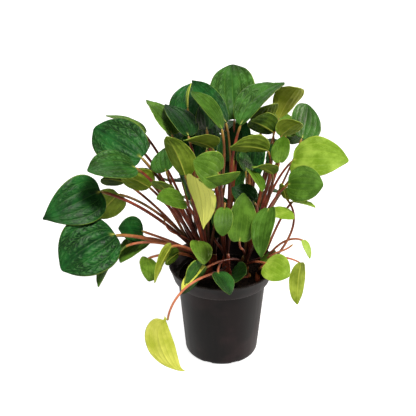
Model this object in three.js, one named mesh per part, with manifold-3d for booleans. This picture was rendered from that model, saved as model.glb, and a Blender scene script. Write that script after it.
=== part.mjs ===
// Potted peperomia: thick, round leaves on long red stalks, standing in a black nursery pot.
// Millimetres, +Z up. The origin is the middle of the pot's flat base, and -Y is the front.
import * as THREE from 'three';
import { mergeVertices } from 'three/addons/utils/BufferGeometryUtils.js';
import Module from 'manifold-3d';

const wasm = await Module();
wasm.setup();

// ---- Driving dimensions ----
const GAP = 0.3;              // between pieces that touch

const RIM_R = 60;             // pot: a common 12 cm nursery pot
const POT_H = 113;
const BAND_H = 17;            // the deep rim band
const BAND_FOOT_R = 54.4;
const BODY_TOP_R = 49.9;
const BODY_FOOT_R = 41.4;
const FOOT_FILLET = 7;
const WALL = 1.3;
const LIP = { out: 0.8, height: 2, edge: 0.4 };           // the bead round the rim
const POT_SIDES = 32;
const DRAIN_SLOTS = 8;
const DRAIN_SLOT = { width: 9, height: 3, from: 31, to: 46 };

const SOIL_TOP = 95;
const SOIL_BUMP = { height: 0.8, long: 0.31, cross: 0.27, fine: 0.55 };   // lumps: mm and waves per mm
const SOIL_RINGS = 5;

const CROWN = { from: -15, to: 27, radius: 7, z: 93 };   // creeping rootstock, half buried
const STEMS = {                                          // short stems that carry the stalks
  l: { x: -15, y: -3, top: 121 },
  m: { x: 5, y: 3, top: 124 },
  r: { x: 26, y: -1, top: 122 },
};
const STEM_R = { foot: 4.8, top: 3.8 };
const STEM_LEAN = { share: 0.3, height: 12 };            // how near the rootstock a stem starts
const STALK_R = { foot: 1.9, blade: 1.15 };
const STALK_SIDES = 4;
const STALK_STEPS = 6;
const ROOT_CLEAR = { soil: 9, top: 3 };                  // stalks leave a stem between these
const STALK_LIFT = { least: 4, share: 0.12, at: 0.3 };   // how far a stalk rises before it leans out
const STALK_TURN = { from: 0.4, step: 0.1, enough: 0.25 };   // how it turns into line with its blade
const STALK_LEAD = { least: 8, share: 0.25 };            // its straight last stretch to the blade
const GOLDEN = 0.618;                                    // leaves take turns up the stem by it

const BLADE_T = 0.7;          // blade thickness
const NOTCH = 0.1;            // depth of the heart-shaped base, as a share of the length
const MIDRIB = 0.1;           // softened width of a V-fold, as a share of the width
const OUTLINE = { gain: 2.04, lead: 0.05, swell: 0.45, taper: 0.75 };
const BLADE_ROWS = [0, 0.1, 0.27, 0.48, 0.7, 0.88];      // shares of the length, without the tip
const SHOOT_BLADE_ROWS = [0, 0.15, 0.4, 0.68, 0.88];
const BLADE_COLUMNS = [-1, -0.5, 0, 0.5, 1];             // shares of the half width

const COLOURS = { pot: 0x1d1b1b, soil: 0x2b221b, stalk: 0xa8543a, blade: 0x2f7a36, young: 0x9ab83c };

// Each row is one leaf: name, stem, blade base and tip, width, roll about the blade's length in
// degrees (0 turns the upper face as far to the sky as it goes), V-fold, arch, sideways sway and
// the guides that bend its stalk.
const LEAVES = [
  // top of the plant
  ['leaf_01', 'm', [13, 30, 275], [11, 89, 316], 52, -10, 0.15, 0.08],
  ['leaf_02', 'm', [18, -15, 287], [66, 33, 316], 54, -10, 0.6, 0.06],
  ['leaf_03', 'r', [62, 44, 270], [80, 18, 316], 35, -30, 0.1, 0.08],
  ['leaf_04', 'm', [4, 8, 280], [-33, 50, 312], 27, -25, 0.4, 0.06],
  ['leaf_05', 'l', [-1, -36, 292], [-34, 10, 315], 26, -15, 0.4, 0.05],
  ['leaf_06', 'l', [-39, 38, 271], [-33, 89, 294], 42, -5, 0.1, 0.08],
  ['leaf_07', 'l', [-54, 0, 270], [-83, 46, 291], 38, 15, 0.2, 0.06],
  ['leaf_08', 'l', [-36, -18, 276], [-62, 33, 291], 42, 10, 0.5, 0.05],
  ['leaf_09', 'l', [-17, 14, 246], [-18, 61, 262], 34, 30, 0.2, 0.05],
  ['leaf_10', 'r', [43, 30, 264], [50, 5, 302], 34, 10, 0.2, 0.06],
  // right
  ['leaf_11', 'r', [85, 3, 264], [93, 40, 288], 38, 40, 0.15, 0.06],
  ['leaf_12', 'r', [74, -18, 248], [129, -48, 261], 50, 40, 0.1, 0.08],
  ['leaf_13', 'r', [67, -54, 237], [101, -75, 246], 39, 55, 0.1, 0.08],
  ['leaf_14', 'r', [55, 15, 266], [28, -6, 288], 34, 55, 0.2, 0.06],
  ['leaf_15', 'r', [63, -3, 271], [80, -25, 294], 27, -40, 0.2, 0.06],
  ['leaf_16', 'r', [46, -50, 274], [6, -70, 286], 38, 50, 0.3, 0.06],
  ['leaf_17', 'r', [59, -33, 252], [64, -8, 271], 21, -15, 0.1, 0.05],
  ['leaf_18', 'r', [52, -45, 245], [30, -63, 260], 26, 25, 0.3, 0.1],
  // front
  ['leaf_19', 'm', [-5, -76, 260], [-30, -88, 279], 38, -65, 0.05, 0.08, 0, [[-2, -50, 215]]],
  ['leaf_20', 'm', [-28, -73, 254], [-20, -67, 191], 42, -5, 0.15, 0.05],
  ['leaf_21', 'r', [33, -56, 217], [9, -50, 231], 28, -30, 0.15, 0.06, 0, [[42, -34, 190]]],
  ['leaf_22', 'r', [17, -80, 184], [21, -62, 231], 33, 30, 0.2, 0.05],
  ['leaf_23', 'm', [1, -82, 224], [-1, -102, 202], 20, 0, 0.1, 0.1, 0, [[-8, -45, 190], [4, -84, 240]]],
  ['leaf_24', 'r', [47, -71, 218], [38, -112, 183], 30, 30, 0.25, 0.06],
  ['leaf_25', 'r', [48, -54, 206], [73, -75, 208], 19, 15, 0.1, 0.08],
  ['leaf_26', 'r', [86, -30, 130], [83, -42, 83], 24, 130, 0.15, 0.05],
  ['leaf_27', 'r', [47, -50, 141], [70, -77, 140], 32, 40, 0.1, 0.08],
  ['leaf_28', 'm', [10, -32, 115], [26, -46, 126], 29, 35, 0.1, 0.08],
  ['leaf_29', 'm', [-5, -62, 136], [8, -86, 123], 24, -10, 0.2, 0.05],
  ['leaf_30', 'l', [-26, -45, 165], [-20, -71, 151], 26, -20, 0.15, 0.06],
  ['leaf_31', 'r', [-17, -56, 139], [-43, -78, 119], 46, -108, -0.45, 0.06],
  ['leaf_32', 'm', [-59, -85, 91], [-39, -98, 34], 31, -115, 0.1, 0.04, -0.3,
    [[-3, -65, 130], [-39, -94, 160]]],
  // lower left
  ['leaf_33', 'l', [-82, -20, 130], [-80, -47, 116], 26, -35, 0.1, 0.06],
  ['leaf_34', 'l', [-55, -54, 164], [-72, -87, 138], 30, 80, 0.15, 0.05],
  ['leaf_35', 'l', [-48, -28, 141], [-62, -50, 140], 19, 90, 0.2, 0.05],
  ['leaf_36', 'l', [-130, -24, 214], [-189, -56, 197], 52, -58, 0.15, 0.1],
  ['leaf_37', 'l', [-114, -46, 173], [-170, -76, 147], 60, -50, 0.15, 0.1],
  ['leaf_38', 'l', [-105, -34, 153], [-133, -72, 124], 36, 35, 0.3, 0.06, 0, [[-62, -34, 166]]],
  ['leaf_39', 'l', [-87, -10, 158], [-112, -31, 173], 30, -5, 0.1, 0.06],
  ['leaf_40', 'l', [-84, 2, 144], [-112, -32, 131], 34, 5, 0.2, 0.06],
  // upper left
  ['leaf_41', 'l', [-115, 17, 191], [-141, 23, 157], 36, 80, 0.15, 0.06],
  ['leaf_42', 'l', [-91, -38, 249], [-138, -66, 258], 42, -25, 0.2, 0.08],
  ['leaf_43', 'l', [-86, -12, 248], [-138, 17, 270], 55, -40, 0.15, 0.06],
  ['leaf_44', 'l', [-85, 30, 258], [-129, 57, 268], 30, 15, 0.2, 0.06],
  ['leaf_45', 'l', [-107, 10, 209], [-131, -9, 221], 30, 55, 0.2, 0.06],
  ['leaf_46', 'l', [-78, -20, 217], [-107, -38, 241], 34, 60, 0.15, 0.06],
  ['leaf_47', 'l', [-60, -28, 240], [-63, 8, 250], 32, -30, 0.2, 0.05],
  ['leaf_48', 'l', [-39, -50, 246], [-57, -63, 295], 34, 35, 0.15, 0.06],
  ['leaf_49', 'm', [-11, -25, 266], [-39, -50, 285], 36, 30, 0.3, 0.06],
  ['leaf_50', 'l', [-40, -52, 217], [-68, -73, 230], 28, -30, 0.1, 0.06],
  ['leaf_51', 'r', [27, -55, 254], [39, -83, 243], 24, -35, 0.2, 0.06, 0, [[38, -42, 222]]],
  ['leaf_52', 'l', [-58, -37, 220], [-71, -54, 241], 24, 15, 0.1, 0.05],
  ['leaf_53', 'r', [24, -44, 247], [21, -26, 262], 24, 45, 0.1, 0.05, 0, [[26, -34, 200]]],
];

// Young leafy shoots, each a stem with its leaves grown as one: the place where it stands in the
// soil, then rows like the ones above without name and stem.
const SHOOTS = {
  shoot_right: { at: [40, -14], leaves: [
    [[75, -20, 200], [99, -34, 200], 20, -15, 0.2, 0.05, 0, [[55, -24, 165]]],
    [[69, -20, 203], [62, -23, 223], 16, 25, 0.1, 0.05, 0, [[68, -40, 150], [91, -30, 182]]],
    [[88, -30, 158], [95, -43, 142], 12, -20, 0.1, 0.05, 0, [[56, -30, 165]]],
    [[48, -35, 133], [56, -13, 136], 20, -30, 0.1, 0.05],
  ] },
  shoot_back_left: { at: [-27, 18], leaves: [
    [[-88, 48, 228], [-126, 78, 220], 44, 0, 0.2, 0.08],
    [[-45, 60, 185], [-58, 100, 165], 40, 0, 0.2, 0.08],
    [[-85, 42, 198], [-118, 64, 188], 38, 0, 0.2, 0.08],
    [[-40, 58, 238], [-52, 100, 243], 42, 0, 0.2, 0.08],
  ] },
  shoot_back: { at: [-8, 28], leaves: [
    [[-35, 75, 215], [-50, 120, 205], 44, 0, 0.2, 0.08],
    [[-20, 60, 165], [-35, 100, 140], 40, 0, 0.2, 0.08],
    [[0, 85, 235], [-2, 130, 230], 44, 0, 0.2, 0.08],
    [[5, 70, 185], [5, 112, 160], 42, 0, 0.2, 0.08],
    [[5, 62, 262], [8, 112, 272], 44, 0, 0.2, 0.08],
  ] },
  shoot_back_right: { at: [28, 22], leaves: [
    [[35, 70, 225], [55, 112, 215], 44, 0, 0.2, 0.08],
    [[30, 55, 170], [48, 90, 145], 40, 0, 0.2, 0.08],
    [[45, 55, 255], [70, 90, 262], 40, 0, 0.2, 0.08],
    [[88, 45, 208], [120, 70, 196], 42, 0, 0.2, 0.08],
    [[55, 45, 180], [78, 78, 155], 40, 0, 0.2, 0.08],
    [[72, 35, 245], [102, 62, 250], 40, 0, 0.2, 0.08],
  ] },
};
const SHOOT = { radius: 3, taper: 0.8, top: 108, depth: 12, spacing: 2 };   // stem, and its leaves' spacing
const SHOOT_SUNK = 2;           // how far a shoot's stalks run into their blades

// ---- Materials ----
const material = (color, roughness) => new THREE.MeshStandardMaterial({ color, roughness, metalness: 0 });
const materials = {
  pot: material(COLOURS.pot, 0.5),
  soil: material(COLOURS.soil, 0.95),
  stalk: material(COLOURS.stalk, 0.45),
  blade: material(COLOURS.blade, 0.4),
  young: material(COLOURS.young, 0.4),
};

// ---- Solids ----
const vec = (p) => new THREE.Vector3(...p);

/** Name the numbers of a leaf's row. */
function leafOf([base, tip, width, roll, fold, arch, sway = 0, bends = []]) {
  return { base: vec(base), tip: vec(tip), width, roll, fold, arch, sway, bends: bends.map(vec) };
}

/** Turn a closed skin of triangles into a solid that can be cut and joined. */
function solidOf(geometry) {
  const bare = geometry.clone();
  bare.deleteAttribute('normal');
  bare.deleteAttribute('uv');
  const merged = mergeVertices(bare, 1e-3);
  return new wasm.Manifold(new wasm.Mesh({
    numProp: 3,
    vertProperties: new Float32Array(merged.attributes.position.array),
    triVerts: new Uint32Array(merged.index.array),
  }));
}

/** Turn a solid back into its skin of triangles. */
function geometryOf(solid) {
  const mesh = solid.getMesh();
  const geometry = new THREE.BufferGeometry();
  geometry.setAttribute('position', new THREE.BufferAttribute(mesh.vertProperties, 3));
  geometry.setIndex(new THREE.BufferAttribute(mesh.triVerts, 1));
  geometry.computeVertexNormals();
  return geometry;
}

const joined = (solids) => wasm.Manifold.union(solids);

/** A geometry from a list of corner points and a list of triangles. */
function facets(points, triangles) {
  const geometry = new THREE.BufferGeometry();
  geometry.setAttribute('position', new THREE.Float32BufferAttribute(points.flatMap((p) => p.toArray()), 3));
  geometry.setIndex(triangles.flat());
  geometry.computeVertexNormals();
  return geometry;
}

// ---- Blades ----
/** Half width of the blade at a share t of its length, as a share of its widest half width. */
const outline = (t) => OUTLINE.gain * (t + OUTLINE.lead) ** OUTLINE.swell * (1 - t) ** OUTLINE.taper;

/** A leaf blade in its own frame: base at the origin, tip on +Y, upper face to +Z. */
function bladeGeometry({ base, tip: end, width, fold, arch, sway }, rows) {
  const length = base.distanceTo(end);
  const spread = 1 / Math.hypot(1, fold);
  const soft = MIDRIB * width;
  const rise = (x, y) => {
    const along = y / length;
    const bend = 4 * arch * length * along * (1 - along);
    return bend + fold * (Math.hypot(x, soft) - soft);
  };
  const upper = [];
  for (const t of rows) {
    for (const u of BLADE_COLUMNS) {
      const x = 0.5 * width * outline(t) * u * spread;
      const y = length * (t - NOTCH * Math.abs(u) ** 1.5 * (1 - t) ** 3);
      upper.push(new THREE.Vector3(x + 4 * sway * length * t * (1 - t), y, rise(x, y)));
    }
  }
  upper.push(new THREE.Vector3(0, length, 0));
  const drop = BLADE_T * Math.hypot(1, fold);
  const lower = upper.map((p) => new THREE.Vector3(p.x, p.y, p.z - drop));

  const n = BLADE_COLUMNS.length;
  const last = rows.length - 1;
  const tip = rows.length * n;
  const face = [];
  for (let r = 0; r < last; r++) {
    for (let c = 0; c < n - 1; c++) {
      const [a, b, d, e] = [r * n + c, r * n + c + 1, (r + 1) * n + c, (r + 1) * n + c + 1];
      if (c < n / 2 - 1) face.push([a, b, e], [a, e, d]);
      else face.push([a, b, d], [b, e, d]);
    }
  }
  for (let c = 0; c < n - 1; c++) face.push([last * n + c, last * n + c + 1, tip]);

  const rim = [];
  for (let c = 0; c < n; c++) rim.push(c);
  for (let r = 1; r <= last; r++) rim.push(r * n + n - 1);
  rim.push(tip);
  for (let r = last; r > 0; r--) rim.push(r * n);
  const shift = upper.length;
  const side = rim.flatMap((a, i) => {
    const b = rim[(i + 1) % rim.length];
    return [[a + shift, b + shift, b], [a + shift, b, a]];
  });
  const under = face.map(([a, b, c]) => [a + shift, c + shift, b + shift]);
  return facets([...upper, ...lower], [...face, ...under, ...side]);
}

/** The blade's own axes: along it, out of its upper face, and across it. */
function bladeAxes({ base, tip, roll }) {
  const along = tip.clone().sub(base).normalize();
  const sky = new THREE.Vector3(0, 0, 1).addScaledVector(along, -along.z).normalize();
  const across = new THREE.Vector3().crossVectors(along, sky);
  const turn = THREE.MathUtils.degToRad(roll);
  const upper = sky.multiplyScalar(Math.cos(turn)).addScaledVector(across, Math.sin(turn));
  return { along, upper, across: new THREE.Vector3().crossVectors(along, upper) };
}

function bladeMesh(leaf, rows) {
  const { along, upper, across } = bladeAxes(leaf);
  const mesh = new THREE.Mesh(bladeGeometry(leaf, rows), materials.blade);
  mesh.quaternion.setFromRotationMatrix(new THREE.Matrix4().makeBasis(across, along, upper));
  mesh.position.copy(leaf.base);
  mesh.updateMatrixWorld();
  return mesh;
}

// ---- Stalks ----
/** A point on the smooth curve that a list of guide points draws. */
function onCurve(guides, t) {
  let points = guides;
  while (points.length > 1) {
    points = points.slice(1).map((p, i) => points[i].clone().lerp(p, t));
  }
  return points[0];
}

/** A tapered tube along the guides. */
function tubeGeometry(guides, footR, endR, sides = STALK_SIDES, steps = STALK_STEPS) {
  const centres = Array.from({ length: steps + 1 }, (_, i) => onCurve(guides, i / steps));
  const points = [];
  let normal = new THREE.Vector3(0.3, 1, 0.1);
  centres.forEach((centre, i) => {
    const before = centres[Math.max(i - 1, 0)];
    const after = centres[Math.min(i + 1, steps)];
    const tangent = after.clone().sub(before).normalize();
    normal = normal.addScaledVector(tangent, -normal.dot(tangent)).normalize();
    const side = new THREE.Vector3().crossVectors(tangent, normal);
    const radius = THREE.MathUtils.lerp(footR, endR, i / steps);
    for (let s = 0; s < sides; s++) {
      const angle = (2 * Math.PI * s) / sides;
      points.push(centre.clone()
        .addScaledVector(normal, radius * Math.cos(angle))
        .addScaledVector(side, radius * Math.sin(angle)));
    }
  });
  const triangles = [];
  for (let i = 0; i < steps; i++) {
    for (let s = 0; s < sides; s++) {
      const [a, b] = [i * sides + s, i * sides + ((s + 1) % sides)];
      triangles.push([a, b, b + sides], [a, b + sides, a + sides]);
    }
  }
  for (let s = 1; s < sides - 1; s++) {
    triangles.push([0, s + 1, s]);
    triangles.push([steps * sides, steps * sides + s, steps * sides + s + 1]);
  }
  return facets(points, triangles);
}

/** Guide points of a stalk, from its root up and out to the notch of its blade. */
function stalkGuides(root, leaf, reach) {
  const { along, upper } = bladeAxes(leaf);
  const { base, bends } = leaf;
  const rise = base.clone().sub(root);
  const lift = STALK_LIFT.least + STALK_LIFT.share * Math.hypot(rise.x, rise.y);
  const lead = base.clone().sub(bends.at(-1) ?? root);
  const chord = lead.clone().normalize();
  const travel = new THREE.Vector3();
  for (let share = STALK_TURN.from; share < 0.9; share += STALK_TURN.step) {
    travel.lerpVectors(chord, along, share).normalize();
    if (travel.dot(along) >= STALK_TURN.enough) break;
  }
  const sine = new THREE.Vector3().crossVectors(travel, along).length();
  const beside = reach > 0 ? 0 : STALK_R.blade * sine;
  const end = base.clone().addScaledVector(along, reach - beside).addScaledVector(upper, -BLADE_T / 2);
  const straight = Math.max(STALK_LEAD.least, STALK_LEAD.share * lead.length());
  const before = end.clone().addScaledVector(travel, -straight);
  const out = root.clone().addScaledVector(rise, STALK_LIFT.at);
  out.z += lift;
  return [root, ...(bends.length ? bends : [out]), before, end];
}

/** Where the next stalk leaves its stem: the leaves take turns up the stem. */
function stalkRoot(stem, index) {
  const { x, y, top } = STEMS[stem];
  const low = SOIL_TOP + ROOT_CLEAR.soil;
  const high = top - ROOT_CLEAR.top;
  return new THREE.Vector3(x, y, low + (high - low) * ((index * GOLDEN) % 1));
}

// ---- Pot and soil ----
/** Points of a quarter circle round the pot's lower edge. */
function footArc(radius, steps = 3) {
  const centre = [BODY_FOOT_R - FOOT_FILLET, FOOT_FILLET];
  return Array.from({ length: steps + 1 }, (_, i) => {
    const angle = -Math.PI / 2 + (Math.PI / 2) * (i / steps);
    return new THREE.Vector2(centre[0] + radius * Math.cos(angle), centre[1] + radius * Math.sin(angle));
  });
}

function turned(profile) {
  return new THREE.LatheGeometry(profile, POT_SIDES).rotateX(Math.PI / 2);
}

function potGeometry() {
  const stepZ = POT_H - BAND_H;
  const point = (r, z) => new THREE.Vector2(r, z);
  const profile = [
    point(0, 0),
    ...footArc(FOOT_FILLET),
    point(BODY_TOP_R, stepZ),
    point(BAND_FOOT_R, stepZ),
    point(RIM_R - LIP.out, POT_H - LIP.height),
    point(RIM_R, POT_H - LIP.height + LIP.edge),
    point(RIM_R, POT_H),
    point(RIM_R - WALL - LIP.out, POT_H),
    point(BAND_FOOT_R - WALL, stepZ + WALL),
    point(BODY_TOP_R - WALL, stepZ + WALL),
    ...footArc(FOOT_FILLET - WALL).reverse(),
    point(0, WALL),
    point(0, 0),
  ];
  let pot = solidOf(turned(profile));
  const { width, height, from, to } = DRAIN_SLOT;
  for (let i = 0; i < DRAIN_SLOTS; i++) {
    const slot = new THREE.BoxGeometry(to - from, width, 2 * height);
    slot.translate((from + to) / 2, 0, 0).rotateZ((2 * Math.PI * (i + 0.5)) / DRAIN_SLOTS);
    pot = pot.subtract(solidOf(slot));
  }
  return geometryOf(pot);
}

/** Lumpy top of the soil. */
function soilHeight(x, y) {
  const { height, long, cross, fine } = SOIL_BUMP;
  const broad = Math.sin(long * x) * Math.cos(cross * y);
  return SOIL_TOP + height * (broad + 0.5 * Math.sin(fine * y + cross * x));
}

function soilGeometry(holes) {
  const rimR = BODY_TOP_R - WALL - GAP - 0.1;            // the wall is a little narrower at this height
  const profile = [
    new THREE.Vector2(0, WALL + GAP),
    ...footArc(FOOT_FILLET - WALL - GAP),
    ...Array.from({ length: SOIL_RINGS + 1 }, (_, i) => (
      new THREE.Vector2(rimR * (1 - i / SOIL_RINGS), SOIL_TOP))),
    new THREE.Vector2(0, WALL + GAP),
  ];
  const geometry = turned(profile);
  const place = geometry.attributes.position;
  for (let i = 0; i < place.count; i++) {
    if (place.getZ(i) > SOIL_TOP - 1) place.setZ(i, soilHeight(place.getX(i), place.getY(i)));
  }
  return geometryOf(holes.reduce((soil, hole) => soil.subtract(hole), solidOf(geometry)));
}

// ---- Crown ----
/** The rootstock, grown by `extra` on every side: it makes the crown and its hole in the soil. */
function rootstock(extra) {
  const { from, to, radius, z } = CROWN;
  const shape = new THREE.CapsuleGeometry(radius + extra, to - from, 3, 10);
  return solidOf(shape.rotateZ(Math.PI / 2).translate((from + to) / 2, 0, z));
}

function stem({ x, y, top }) {
  const footY = y * STEM_LEAN.share;
  const guides = [[x, footY, CROWN.z], [x, footY, CROWN.z + STEM_LEAN.height], [x, y, top]].map(vec);
  return solidOf(tubeGeometry(guides, STEM_R.foot, STEM_R.top, 8, 3));
}

/** A round peg that stands in the soil, `extra` wider for its hole. */
function peg([x, y], extra) {
  const { radius, taper, top, depth } = SHOOT;
  const height = top - SOIL_TOP + depth;
  const shape = new THREE.CylinderGeometry(taper * radius + extra, radius + extra, height, 8);
  return solidOf(shape.rotateX(Math.PI / 2).translate(x, y, top - height / 2));
}

function crownGeometry() {
  const stalks = LEAVES.map(([, stemName, ...row], i) => {
    const guides = stalkGuides(stalkRoot(stemName, i), leafOf(row), -1.5 * GAP);
    return solidOf(tubeGeometry(guides, STALK_R.foot, STALK_R.blade));
  });
  return geometryOf(joined([rootstock(0), ...Object.values(STEMS).map(stem), ...stalks]));
}

function shootGeometry({ at, leaves }) {
  const solids = [peg(at, 0)];
  leaves.forEach((row, i) => {
    const leaf = leafOf(row);
    const root = new THREE.Vector3(...at, SHOOT.top - SHOOT.spacing * (1 + (i % 3)));
    const guides = stalkGuides(root, leaf, SHOOT_SUNK);
    solids.push(solidOf(tubeGeometry(guides, STALK_R.foot, STALK_R.blade)));
    const blade = bladeMesh(leaf, SHOOT_BLADE_ROWS);
    solids.push(solidOf(blade.geometry.clone().applyMatrix4(blade.matrixWorld)));
  });
  return geometryOf(joined(solids));
}

// ---- Assembly ----
const plant = new THREE.Group();

function add(name, geometry, look) {
  const mesh = new THREE.Mesh(geometry, look);
  mesh.name = name;
  plant.add(mesh);
}

add('pot', potGeometry(), materials.pot);
add('soil', soilGeometry([rootstock(GAP), ...Object.values(SHOOTS).map(({ at }) => peg(at, GAP))]),
  materials.soil);
add('crown_stalks', crownGeometry(), materials.stalk);

for (const [name, , ...row] of LEAVES) {
  const mesh = bladeMesh(leafOf(row), BLADE_ROWS);
  mesh.name = name;
  plant.add(mesh);
}

for (const [name, shoot] of Object.entries(SHOOTS)) {
  add(name, shootGeometry(shoot), materials.young);
}

export default plant;
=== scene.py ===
import math

import bpy
from mathutils import Matrix, Vector


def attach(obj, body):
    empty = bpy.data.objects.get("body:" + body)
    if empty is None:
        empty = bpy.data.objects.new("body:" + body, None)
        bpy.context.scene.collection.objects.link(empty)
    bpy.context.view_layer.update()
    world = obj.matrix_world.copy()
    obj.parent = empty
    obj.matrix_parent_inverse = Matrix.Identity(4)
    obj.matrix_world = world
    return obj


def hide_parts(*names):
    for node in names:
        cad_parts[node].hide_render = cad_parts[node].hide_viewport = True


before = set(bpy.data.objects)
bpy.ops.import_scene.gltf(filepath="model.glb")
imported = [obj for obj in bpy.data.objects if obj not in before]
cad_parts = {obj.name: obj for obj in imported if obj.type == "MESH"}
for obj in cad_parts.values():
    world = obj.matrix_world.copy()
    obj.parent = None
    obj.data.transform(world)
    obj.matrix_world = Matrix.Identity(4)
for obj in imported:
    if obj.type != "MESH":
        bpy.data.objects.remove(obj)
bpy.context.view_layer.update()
scene = bpy.context.scene

# ---- Studio ----
# A white product studio: the plant stands on a pale floor that fades into the white behind it. A
# strong soft light hangs at the front right, and weaker ones stand at the left, behind and low at
# the right. The camera looks down on the plant from its front, at the angle of the photograph.
MM = 0.001  # the plant's sizes are in millimetres, the studio's in metres


def mm(x, y, z):
    """A point given in millimetres, in metres."""
    return Vector((x, y, z)) * MM


CAMERA_TARGET = mm(-15.6, 0, 181.5)
CAMERA_DISTANCE = 1.21
CAMERA_HEIGHT_DEG = 27.2
CAMERA_LENS, CAMERA_SENSOR = 95.19, 36
CAMERA_NEAR, CAMERA_FAR = 0.05, 60

camera = bpy.data.objects.new("camera", bpy.data.cameras.new("camera"))
scene.collection.objects.link(camera)
scene.camera = camera
lift = math.radians(CAMERA_HEIGHT_DEG)
away = Vector((0, -math.cos(lift), math.sin(lift)))
camera.location = CAMERA_TARGET + away * CAMERA_DISTANCE
camera.rotation_euler = away.to_track_quat("Z", "Y").to_euler()
camera.data.lens = CAMERA_LENS
camera.data.sensor_width = CAMERA_SENSOR
camera.data.clip_start, camera.data.clip_end = CAMERA_NEAR, CAMERA_FAR

scene.view_settings.view_transform = "Standard"
scene.view_settings.look = "None"


def soft_light(name, place, size, power, colour):
    """A square studio light that faces the plant."""
    light = bpy.data.lights.new(name, "AREA")
    light.shape, light.size = "SQUARE", size
    light.energy, light.color = power, colour
    lamp = bpy.data.objects.new(name, light)
    scene.collection.objects.link(lamp)
    lamp.location = place
    lamp.rotation_euler = (place - CAMERA_TARGET).to_track_quat("Z", "Y").to_euler()


soft_light("key_light", Vector((0.45, -1.05, 1.95)), 0.42, 62, (1, 0.97, 0.91))
soft_light("fill_light", Vector((-1.3, -1.1, 0.9)), 1.0, 7, (1, 0.98, 0.94))
soft_light("back_light", Vector((-0.3, 1.3, 1.4)), 0.8, 10, (1, 0.99, 0.96))
soft_light("side_light", Vector((1.5, 0.6, 0.3)), 0.6, 26, (1, 0.88, 0.8))


class Formula:
    """One value in a node tree, so that a rule can be written as plain sums."""

    def __init__(self, tree, socket):
        self.tree, self.socket = tree, socket

    def math(self, operation, *others):
        node = self.tree.nodes.new("ShaderNodeMath")
        node.operation = operation
        for socket, term in zip(node.inputs, (self, *others)):
            feed(self.tree, socket, term)
        return Formula(self.tree, node.outputs[0])

    def __add__(self, other):
        return self.math("ADD", other)

    def __mul__(self, other):
        return self.math("MULTIPLY", other)

    def __sub__(self, other):
        return self.math("SUBTRACT", other)

    def __rsub__(self, other):
        return self * -1 + other

    def __truediv__(self, other):
        return self.math("DIVIDE", other)

    def __pow__(self, other):
        return self.math("POWER", other)

    def sin(self):
        return self.math("SINE")

    def cos(self):
        return self.math("COSINE")

    def size(self):
        return self.math("ABSOLUTE")

    def bell(self, width):
        """1 where the value is 0, fading to 0 a little past `width` on both sides."""
        share = self / width
        return (share * share * -1).math("EXPONENT")

    def ramp(self, low, high):
        """0 below `low`, 1 above `high` and smooth between."""
        node = self.tree.nodes.new("ShaderNodeMapRange")
        node.interpolation_type = "SMOOTHSTEP"
        for name, term in (("Value", self), ("From Min", low), ("From Max", high)):
            feed(self.tree, node.inputs[name], term)
        return Formula(self.tree, node.outputs["Result"])

    __radd__, __rmul__ = __add__, __mul__


def feed(tree, socket, term):
    """Give a node's input a link where the term is a socket or formula, and else a plain value."""
    if isinstance(term, Formula):
        term = term.socket
    if isinstance(term, bpy.types.NodeSocket):
        tree.links.new(term, socket)
    elif term is not None:
        socket.default_value = term


def step(tree, kind, output=0, **terms):
    """Add a node, feed its inputs by name (with _ for a space) and give one of its outputs."""
    node = tree.nodes.new(kind)
    for name, term in terms.items():
        if name.islower() and hasattr(node, name):
            setattr(node, name, term)
        else:
            feed(tree, node.inputs[name.replace("_", " ")], term)
    return node.outputs[output]


def read(tree, kind, output=0, **terms):
    """Add a node as `step` does, and give its output as a formula."""
    return Formula(tree, step(tree, kind, output, **terms))


WALL_LIGHT, WALL_SHOWN = 0.15, 1.0  # how bright the walls are, on the plant and to the camera
world = bpy.data.worlds.new("white_walls")
world.use_nodes = True
scene.world = world
walls = world.node_tree.nodes["Background"]
walls.inputs["Color"].default_value = (1, 1, 1, 1)
seen = read(world.node_tree, "ShaderNodeLightPath", "Is Camera Ray")
feed(world.node_tree, walls.inputs["Strength"], seen * (WALL_SHOWN - WALL_LIGHT) + WALL_LIGHT)

FLOOR_HALF, FLOOR_GREY = 12, 0.45
FLOOR_SHOWN, FLOOR_MIRRORED = 0.86, 0.6  # its own glow, to the camera and in shiny faces
floor_mesh = bpy.data.meshes.new("floor")
floor_mesh.from_pydata(
    [(-FLOOR_HALF, -FLOOR_HALF, 0), (FLOOR_HALF, -FLOOR_HALF, 0),
     (FLOOR_HALF, FLOOR_HALF, 0), (-FLOOR_HALF, FLOOR_HALF, 0)], [], [(0, 1, 2, 3)])
floor = bpy.data.objects.new("floor", floor_mesh)
scene.collection.objects.link(floor)
floor_paint = bpy.data.materials.new("floor_paint")
floor_paint.use_nodes = True
tree = floor_paint.node_tree
paint = tree.nodes["Principled BSDF"].inputs
paint["Base Color"].default_value = (FLOOR_GREY, FLOOR_GREY, FLOOR_GREY, 1)
paint["Roughness"].default_value = 0.9
paint["Specular IOR Level"].default_value = 0.1
paint["Emission Color"].default_value = (1, 1, 1, 1)
seen = read(tree, "ShaderNodeLightPath", "Is Camera Ray")
mirrored = read(tree, "ShaderNodeLightPath", "Is Glossy Ray")
feed(tree, paint["Emission Strength"], seen * FLOOR_SHOWN + mirrored * FLOOR_MIRRORED)
floor_mesh.materials.append(floor_paint)

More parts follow.
